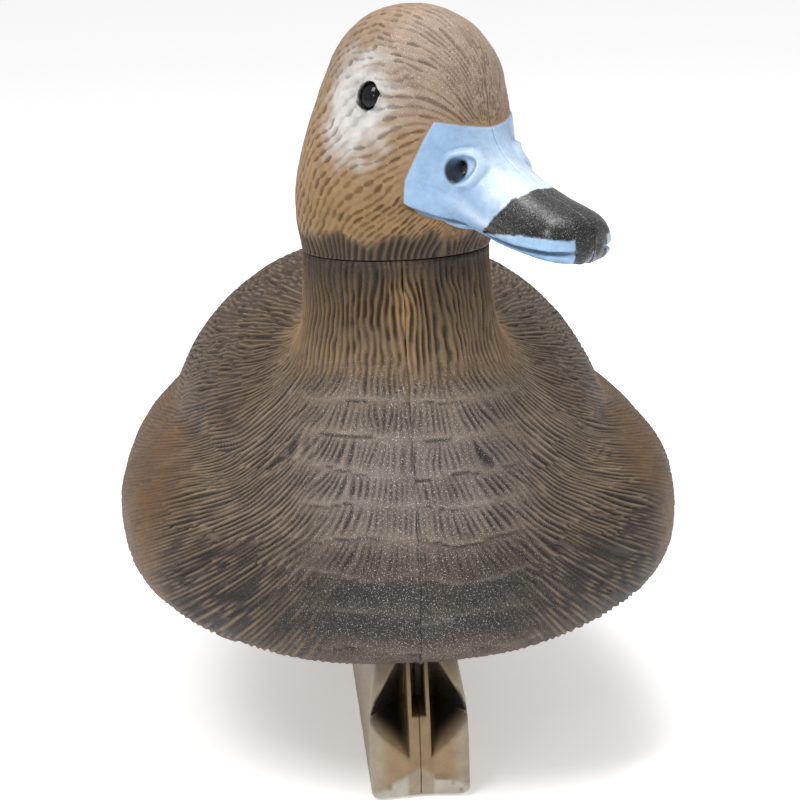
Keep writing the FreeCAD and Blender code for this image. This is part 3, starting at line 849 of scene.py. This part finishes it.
def head_relief(f, s, u, side):
    """Engraved feather dashes, and the paint."""
    seed = 71 if side > 0 else 53
    ahead = bill_edge(f, s, u)
    feathered_part = 1 - fade(-1.5, -0.3, ahead)
    # strokes flow back from the forehead and down over the cheek
    back = (34 - f) * 0.75 + (52 - u) * 0.66
    rise = (f - 34) * -0.66 + (u - 52) * 0.75 + 22
    around = np.arctan2(s, rise) * 27
    low = np.arctan2(s, f - 2) * 31
    wave = noise(back / 11, around / 9, 0, seed) * 0.9
    wave = wave + noise(back / 3, around / 3, 1, seed) * (0.16 + 0.3 * fade(46, 58, u))
    groove = 0
    for kind, here, share in ((1.25, 0, fade(46, 58, u)), (1.7, 1, 1 - fade(46, 58, u))):
        lane = around / kind + wave
        lane_number = np.floor(lane)
        gap = gap_in(lane)
        spell = back / (2.3 + 1.7 * here) + hashed(lane_number, here, 0, seed + 1) * 9
        spell_number = np.floor(spell)
        on = 0.12 + 0.88 * hashed(lane_number, spell_number, here, seed + 2) ** (1.4 - 0.6 * here)
        lens = np.sin(np.pi * (spell - spell_number)) ** 0.8
        groove = groove + np.clip(1.25 - 1.25 * gap / (0.7 * lens + 1e-3), 0, 1) * on * share
    relief = 0
    strong = 0.8 + 0.2 * fade(62, 44, u)
    hair = np.arctan2(s, f) * 29 / 2.2 + noise(low / 7, u / 9, 2, seed + 9) * 0.9
    hair_gap = gap_in(hair)
    collar = fade(8.5, 4.0, u + 3.2 * noise(low / 5, u / 8, 5, seed + 8))
    hair_groove = np.maximum(0, 1 - hair_gap / 0.8) * collar
    groove = groove * strong * (1 - collar)
    groove = groove * feathered_part
    relief = relief - 0.8 * groove - 0.8 * hair_groove
    relief = relief + 0.12 * noise(f / 5, s / 5, u / 5, seed + 3)
    relief = relief + 0.04 * noise(f / 1.6, s / 1.6, u / 1.6, seed + 4)
    # seam along the bill's ridge
    relief = relief + 0.25 * bump_at(s, 0, 0.6) * fade(0, 3, ahead)
    # paint of the head
    shape = f.shape
    paint = np.broadcast_to(linear((134, 105, 70)), shape + (3,)).copy()
    paint = blend_colour(paint, (122, 101, 80), fade(44, 60, u))
    paint = blend_colour(paint, (140, 111, 82), fade(62, 74, u) * 0.7)
    paint = blend_colour(paint, (132, 112, 97), fade(12, 24, f) * fade(36, 48, u) * 0.85)
    paint = blend_colour(paint, (116, 84, 36), fade(36, 12, u) * 0.95)
    # painted shade: the head darkens toward its lower rim, under the chin
    paint = blend_colour(paint, (92, 70, 44), fade(12, 2, u) * 0.8)
    streak = noise(around / 1.2, back / 5, 2, seed + 5) * 0.25
    eye_f, eye_u = EYE_PLACE
    patch = np.hypot((f - eye_f + 5.0) / 13.5, (u - eye_u + 4.0) / 16.5) + streak
    paint = blend_colour(paint, (192, 192, 192), fade(1.3, 0.4, patch) * fade(10, 16, s) * 0.88)
    # painted shade: the engraved strokes are painted darker, where shade falls in them
    paint = blend_colour(paint, (66, 47, 30), groove * (0.58 + 0.17 * fade(40, 20, u)))
    paint = blend_colour(paint, (196, 180, 160), feathered_part * fade(0.35, 0, groove) * 0.12)
    # the lower rim: dark paint like the neck's, darkened further as painted shade under the chin,
    # with gold on its ridges and painted shade in its grooves
    paint = blend_colour(paint, (38, 28, 19), collar * 0.97)
    paint = blend_colour(paint, (132, 102, 62), collar * fade(0.2, 0.8, hair_gap) * 0.26)
    paint = blend_colour(paint, (16, 12, 10), hair_groove * 0.8)
    # paint of the bill
    top = bill_top(f)
    bottom = bill_bottom(f)
    middle = bottom + (top - bottom) * 0.4
    high = (u - middle) / np.maximum(top - middle, 0.5)
    blue = linear((136, 165, 196)) + np.zeros(shape + (3,))
    # painted highlight: the top of the bill is painted pale, and a pale streak runs along its side
    blue = blend_colour(blue, (198, 212, 226),
                        fade(40, 58, f + 3 * high) * fade(-0.1, 0.8, high) * 0.9)
    blue = blend_colour(blue, (214, 222, 230), bump_at(u, middle - 1.5, 2.2) * fade(34, 48, f) * 0.5)
    blue = blend_colour(blue, (140, 172, 204), fade(11.0, 9.0, u) * 0.95)
    jag = 0.9 * noise(f / 2.2, s / 3, 0, seed + 6) + 0.35 * noise(f / 0.8, s, 0, seed + 7)
    back_edge = np.interp(u, (9.5, 13.4, 17.6, 21, 22), (47.5, 52.7, 56, 58.8, 60.5))
    low_edge = np.interp(f, (46, 60, 73, 77), (9.4, 10.4, 10.4, 9.4))
    black = np.minimum(f - back_edge + jag, u - low_edge + 0.35 * jag)
    nail = np.minimum(np.minimum(f - 75 + jag * 0.4, 7.0 - s + 0.4 * jag), u - bottom + 0.5)
    black = np.maximum(black, nail)
    dark = fade(-0.25, 0.25, black)
    soft_black = linear((25, 25, 26)) + np.zeros(shape + (3,))
    soft_black = blend_colour(soft_black, (46, 45, 45), fade(70, 58, f) * 0.7)
    blue = blue + (soft_black - blue) * dark[..., None]
    hole = nostril_at(f, u, 2.6, 5.0)
    blue = blend_colour(blue, (8, 8, 9), fade(1.95, 1.5, hole) * fade(6, 9, s))
    nostril_ring = curl_distance(f, u)
    curl = curl_share(f, u) * fade(6, 9, s)
    # painted shade on each side of the curled ridge, and a painted highlight on its crest
    blue = blend_colour(blue, (96, 124, 154), bump_at(nostril_ring, 3.1, 0.6) * curl * 0.7)
    blue = blend_colour(blue, (104, 134, 166), bump_at(nostril_ring, 6.3, 0.6) * curl * 0.55)
    blue = blend_colour(blue, (200, 218, 235), bump_at(nostril_ring, 4.7, 0.7) * curl * 0.4)
    # painted shade in the crease of the mouth
    in_mouth = np.exp(-((u - mouth_line(f)) / 0.6) ** 2) * fade(4, 8, s) * fade(25, 27, f)
    blue = blend_colour(blue, (62, 76, 92), in_mouth * 0.75)
    on_bill = fade(-0.25, 0.25, ahead)
    paint = paint + (blue - paint) * on_bill[..., None]
    socket = socket_at(f, u)
    paint = blend_colour(paint, (26, 25, 26), fade(1.06, 0.98, socket) * fade(14, 18, s))
    lid = bump_at(socket, 1.25, 0.12) * fade(14, 18, s)
    paint = blend_colour(paint, (170, 166, 162), lid * 0.6)
    # painted glints: on the crown and face, and on the black of the bill
    painted_glints = 1.5 * (1 - on_bill) * fade(30, 56, u) * fade(2, 20, f) + 1.1 * on_bill * dark
    gloss = 0.24 * on_bill + 0.05
    relief = relief * (0.25 + 0.75 * feathered_part)
    relief = relief * fade(0, 1.2, u - HEAD_RINGS[0][0])
    return relief, paint, np.stack([0 * f, painted_glints, gloss], -1)


def build_head():
    step = 0.42
    axes = (spread(-33, 84, step), spread(-1, 34, step), spread(-0.8, 77.5, step))
    points, quads = surface_net(head_half, axes)
    normals = field_normals(head_half, points, 0.3)
    inner = head_field(*points.T) < -1.6
    flat = (points[:, 1] < PARTING + 0.3) | (points[:, 2] < HEAD_RINGS[0][0] + 0.3)
    points, quads, used = keep_faces(points, quads, inner & flat)
    normals = normals[used]
    f, s, u = points.T
    for side, name in ((1, "head_left"), (-1, "head_right")):
        relief, paint, values = head_relief(f, s, u, side)
        relief = relief * fade(0.05, 0.5, s)
        moved = points + normals * relief[:, None]
        faces = quads if side > 0 else quads[:, ::-1]
        make_piece(name, to_world(moved, side), faces, paint, values, "head",
                   [name + "_shell"], head_paint)


def build_eyes():
    """Glossy eyes: a ball's cap, flattened into the socket."""
    material, nodes, links, shader = new_material("eye_glass")
    shader.inputs["Base Color"].default_value = (0.006, 0.005, 0.005, 1)
    shader.inputs["Roughness"].default_value = 0.06
    shader.inputs["Specular IOR Level"].default_value = 0.22
    tint = ramp_node(nodes, links, noise_node(nodes, links, 900, 2, 0.5), 0.3, 0.8, 0.003, 0.012)
    links.new(grey_node(nodes, links, tint), shader.inputs["Base Color"])
    eye_f, eye_u = EYE_PLACE
    for side, name in ((1, "eye_left"), (-1, "eye_right")):
        rings, slices = 20, 40
        points = []
        for i in range(rings + 1):
            polar = math.radians(80) * i / rings
            for j in range(slices):
                a = 2 * math.pi * j / slices
                out = 2.6 * math.cos(polar) - 1.3
                points.append((eye_f + 3.7 * math.sin(polar) * math.cos(a), out,
                               eye_u + 4.2 * math.sin(polar) * math.sin(a)))
        points = np.array(points)
        # tip the cap so that it faces out of the side of the head
        outward = skull_side(points[:, 0], points[:, 2])
        points[:, 1] += outward - 0.7
        faces = []
        for i in range(rings):
            for j in range(slices):
                k = (j + 1) % slices
                faces.append((i * slices + j, i * slices + k, (i + 1) * slices + k,
                              (i + 1) * slices + j))
        faces = np.array(faces)
        faces = faces if side > 0 else faces[:, ::-1]
        colour_rows = np.zeros((len(points), 3)) + 0.01
        make_piece(name, to_world(points, side), faces, colour_rows, np.zeros((len(points), 3)),
                   "head", [name.split("_")[1] + "_eye"], material)


def skull_side(f, u):
    """Half width of the skull at a place on its side."""
    inside = 1 - ((f - ring_centre(u)) / ring_length(u)) ** 2
    return ring_width(u) * np.sqrt(np.clip(inside, 0.01, 1))


# ---- keel --------------------------------------------------------------------------------------

KEEL_TOP = 46.0
# z, half width, front y, back y
KEEL_LEVELS = [(-1, 15.6, -95, 94), (0, 15.6, -95, 94), (24, 15.5, -96, 97), (46, 12.8, -93, 100)]
WEB = 3.5
SLOT = 2.2
SLOT_Z = 28.0
POCKET_DEEP = (WEB, -76, 29)
POCKET_LOW = (WEB, -96.2, 13)
POCKET_HIGH = (WEB, -96.2, 56)
POCKET_SIDE = (16.0, -94, 27)
TIE_HOLE = (-91.7, 24.0, 2.3)
CAP_SEAT = (94.2, 15.0, 14.0)
V_RIDGE = (10.5, 0.5)
BALLAST_BORE = (-62.0, 15.0, 11.5)
keel_width, keel_front, keel_back = [table(KEEL_LEVELS, i) for i in range(1, 4)]


def plane(a, b, c, inside):
    """Distance from the plane through three points, below zero on the side of the fourth."""
    normal = unit(np.cross(np.subtract(b, a), np.subtract(c, a)))
    if np.dot(normal, np.subtract(inside, a)) > 0:
        normal = -normal
    return lambda x, y, z: (x - a[0]) * normal[0] + (y - a[1]) * normal[1] + (z - a[2]) * normal[2]


pocket_floor = plane(POCKET_DEEP, POCKET_LOW, POCKET_SIDE, POCKET_HIGH)
pocket_roof = plane(POCKET_DEEP, POCKET_HIGH, POCKET_SIDE, POCKET_LOW)


def keel_field(x, y, z):
    side = np.abs(x)
    across = side - keel_width(z)
    foot = np.maximum(V_RIDGE[0] - V_RIDGE[1] * side - z, 0)
    ends = np.maximum(keel_front(z) - y + 0.35 * foot, y - keel_back(z))
    block = soft_max(across, ends, 4.0)
    block = soft_max(block, -z, 2.4)
    pocket = np.maximum(WEB - side, np.maximum(pocket_floor(side, y, z), pocket_roof(side, y, z)))
    block = soft_max(block, -pocket, 0.9)
    slot = np.maximum(np.maximum(side - SLOT, SLOT_Z - z), y + 76)
    block = soft_max(block, -slot, 0.5)
    hole = np.maximum(np.hypot(y - TIE_HOLE[0], z - TIE_HOLE[1]) - TIE_HOLE[2], side - 7)
    block = soft_max(block, -hole, 0.5)
    bore = np.maximum(np.hypot(side, z - BALLAST_BORE[1]) - BALLAST_BORE[2], BALLAST_BORE[0] - y)
    block = soft_max(block, -bore, 0.5)
    seat = np.maximum(np.hypot(side, z - CAP_SEAT[1]) - CAP_SEAT[2], CAP_SEAT[0] - y)
    return soft_max(block, -seat, 0.4)


def keel_half(x, y, z):
    return soft_max(np.maximum(keel_field(x, y, z), z - KEEL_TOP), PARTING - x, 0.3)


def keel_paint(x, y, z, side):
    seed = 91 if side > 0 else 97
    n = noise(x / 6, y / 6, z / 6, seed)
    fine = noise(x / 1.5, y / 1.5, z / 3, seed + 1)
    relief = 0.1 * n + 0.05 * fine
    paint = np.broadcast_to(linear((138, 117, 88)), x.shape + (3,)).copy()
    front = fade(-86, -92, y)
    paint = blend_colour(paint, (126, 112, 88), fade(30, 44, z) * 0.7)
    paint = blend_colour(paint, (150, 140, 124), fade(9, 14, x) * front * 0.7)
    over_ridge = z - V_RIDGE[0] + V_RIDGE[1] * x
    pale = fade(1.0, -1.2, over_ridge + 1.2 * n) * front
    paint = blend_colour(paint, (176, 172, 160), pale * 0.9)
    scuff = fade(0.1, 0.5, noise(x / 2.5, y / 9, z / 2.5, seed + 2)) * bump_at(over_ridge, -1, 2.2)
    paint = blend_colour(paint, (104, 78, 46), scuff * front * 0.7)
    # painted shade in the front pockets: darker the deeper in, and black under their roofs
    opening = np.maximum(pocket_floor(x, y, z), pocket_roof(x, y, z))
    in_from_front = y - keel_front(z)
    on_floor = fade(1.2, 0.4, np.abs(pocket_floor(x, y, z))) * fade(WEB + 0.2, WEB + 1.0, x)
    depth = fade(0.1, 1.0 + 7.0 * on_floor, in_from_front)
    pocket_shade = depth * fade(-70, -74, y) * fade(0.9, 0.3, opening)
    paint = blend_colour(paint, (9, 7, 5), pocket_shade * (0.5 + 0.48 * fade(WEB, WEB + 2.5, x)))
    web = fade(WEB + 1.2, WEB, x) * fade(-70, -80, y)
    paint = blend_colour(paint, (128, 104, 72), web * 0.6)
    high = fade(36, 45, z)
    paint = blend_colour(paint, (80, 68, 54), high * 0.6)
    seam = bump_at(x, 0, 0.7) * front * fade(30, 20, z)
    relief = relief + 0.35 * seam
    # a few painted glints, and a little gloss
    return relief, paint, np.stack([0 * x, 0.12 + 0 * x, 0.06 + 0 * x], -1)


def build_keel():
    coarse = 1.3
    fine = 0.5
    y_axis = np.concatenate([spread(-98, -74, fine), spread(-73, 89, coarse), spread(90, 103, fine)])
    axes = (spread(-0.8, 18, fine), y_axis, spread(-1.6, 47.6, fine))
    points, quads = surface_net(keel_half, axes)
    normals = field_normals(keel_half, points, 0.2)
    deep = keel_field(*points.T) < -1.8
    flat = (points[:, 0] < PARTING + 0.3) & (normals[:, 0] < -0.9)
    points, quads, used = keep_faces(points, quads, deep & flat)
    normals = normals[used]
    x, y, z = points.T
    paint_material = painted_plastic("keel_plastic", 0.5, 0.3, 0.25)
    for side, name in ((1, "keel_left"), (-1, "keel_right")):
        relief, paint, values = keel_paint(x, y, z, side)
        relief = relief * fade(0.05, 0.6, x) * fade(KEEL_TOP, KEEL_TOP - 2, z)
        moved = points + normals * relief[:, None]
        moved[:, 0] *= side
        faces = quads if side > 0 else quads[:, ::-1]
        make_piece(name, moved, faces, paint, values, "hull",
                   [name + "_shell"], paint_material)


# ---- small parts that keep their CAD shape -------------------------------------------------------


def plain_part(name, nodes_named, colour, roughness, metallic, scale):
    """A slightly mottled and grained material for CAD nodes that stay as they are."""
    material, nodes, links, shader = new_material(name)
    shade = ramp_node(nodes, links, noise_node(nodes, links, scale, 4, 0.6), 0.3, 0.7, 0.72, 1.2)
    grey = grey_node(nodes, links, shade)
    base = mix_node(nodes, links, "MULTIPLY", 1.0, tuple(linear(colour)) + (1,), grey)
    links.new(base, shader.inputs["Base Color"])
    rough = ramp_node(nodes, links, noise_node(nodes, links, scale * 2, 3, 0.6), 0.3, 0.7,
                      roughness - 0.1, roughness + 0.1)
    links.new(rough, shader.inputs["Roughness"])
    shader.inputs["Metallic"].default_value = metallic
    add_grain(nodes, links, shader, 0.3, 0.0003, scale * 4)
    for node in nodes_named:
        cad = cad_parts[node]
        cad.data.materials.clear()
        cad.data.materials.append(material)


def dress_small_parts():
    plain_part("black_rubber", ["neck_o_ring", "keel_gasket", "cap_seal_ring", "drain_seal_ring"],
               (38, 36, 34), 0.75, 0.0, 500)
    plain_part("black_moulding", ["neck_bearing_ring", "neck_spigot"], (46, 42, 38), 0.45, 0.0, 350)
    plain_part("brown_moulding", ["ballast_cap", "drain_plug", "drain_bushing"],
               (92, 74, 54), 0.48, 0.0, 350)
    plain_part("cast_iron", ["keel_ballast"], (70, 68, 66), 0.6, 0.9, 260)
    plain_part("brushed_steel", ["spigot_retaining_clip", "keel_screws", "screw_washers"],
               (176, 178, 180), 0.34, 1.0, 700)


build_hull()
build_head()
build_eyes()
build_keel()
dress_small_parts()

# ---- stage, light and camera -------------------------------------------------------------------

CAMERA_AZIMUTH = -3.4
CAMERA_ELEVATION = 12.6
CAMERA_ROLL = -2.2
CAMERA_DISTANCE = 800.0
CAMERA_TARGET = (1.1, -40.0, 116.9)
VIEW_WIDTH = 261.0
FLOOR_HALF = 9.0
FLOOR_DROP = 0.0004
FLOOR_GLOW = 0.36
WORLD_STRENGTH = 0.6
# name, place, watts, size
LIGHTS = [
    ("key", (-0.6, -0.8, 1.3), 12, 0.5),
    ("fill", (0.9, -0.9, 0.7), 1.2, 0.8),
    ("top", (0.1, 0.1, 1.4), 11, 0.6),
    ("spark", (-0.45, -1.0, 0.55), 0.5, 0.08),
]


def build_stage():
    mesh = bpy.data.meshes.new("floor")
    size = FLOOR_HALF
    mesh.from_pydata([(-size, -size, 0), (size, -size, 0), (size, size, 0), (-size, size, 0)],
                     [], [(0, 1, 2, 3)])
    floor = bpy.data.objects.new("floor", mesh)
    bpy.context.collection.objects.link(floor)
    floor.location.z = -FLOOR_DROP
    material, nodes, links, shader = new_material("floor_white")
    shader.inputs["Base Color"].default_value = (0.94, 0.94, 0.94, 1)
    shader.inputs["Roughness"].default_value = 0.9
    shader.inputs["Emission Color"].default_value = (1, 1, 1, 1)
    shader.inputs["Emission Strength"].default_value = FLOOR_GLOW
    mesh.materials.append(material)
    world = bpy.data.worlds.new("studio")
    world.use_nodes = True
    world.node_tree.nodes["Background"].inputs["Color"].default_value = (1, 1, 1, 1)
    world.node_tree.nodes["Background"].inputs["Strength"].default_value = WORLD_STRENGTH
    bpy.context.scene.world = world
    for name, place, power, size in LIGHTS:
        light = bpy.data.lights.new(name, "AREA")
        light.energy = power
        light.size = size
        lamp = bpy.data.objects.new(name, light)
        lamp.location = place
        way = Vector((0, 0, 0.12)) - lamp.location
        lamp.rotation_euler = way.to_track_quat("-Z", "Y").to_euler()
        bpy.context.collection.objects.link(lamp)


def build_camera():
    turn, rise = math.radians(CAMERA_AZIMUTH), math.radians(CAMERA_ELEVATION)
    back = Vector((math.sin(turn) * math.cos(rise), -math.cos(turn) * math.cos(rise),
                   math.sin(rise)))
    data = bpy.data.cameras.new("camera")
    data.sensor_width = 36.0
    data.lens = 36.0 * CAMERA_DISTANCE / VIEW_WIDTH
    camera = bpy.data.objects.new("camera", data)
    camera.location = (Vector(CAMERA_TARGET) + back * CAMERA_DISTANCE) * MM
    look = (-back).to_track_quat("-Z", "Y").to_matrix()
    roll = Matrix.Rotation(math.radians(CAMERA_ROLL), 3, "Z")
    camera.rotation_euler = (look @ roll).to_euler()
    bpy.context.collection.objects.link(camera)
    bpy.context.scene.camera = camera


build_stage()
build_camera()
bpy.context.scene.view_settings.view_transform = "Standard"
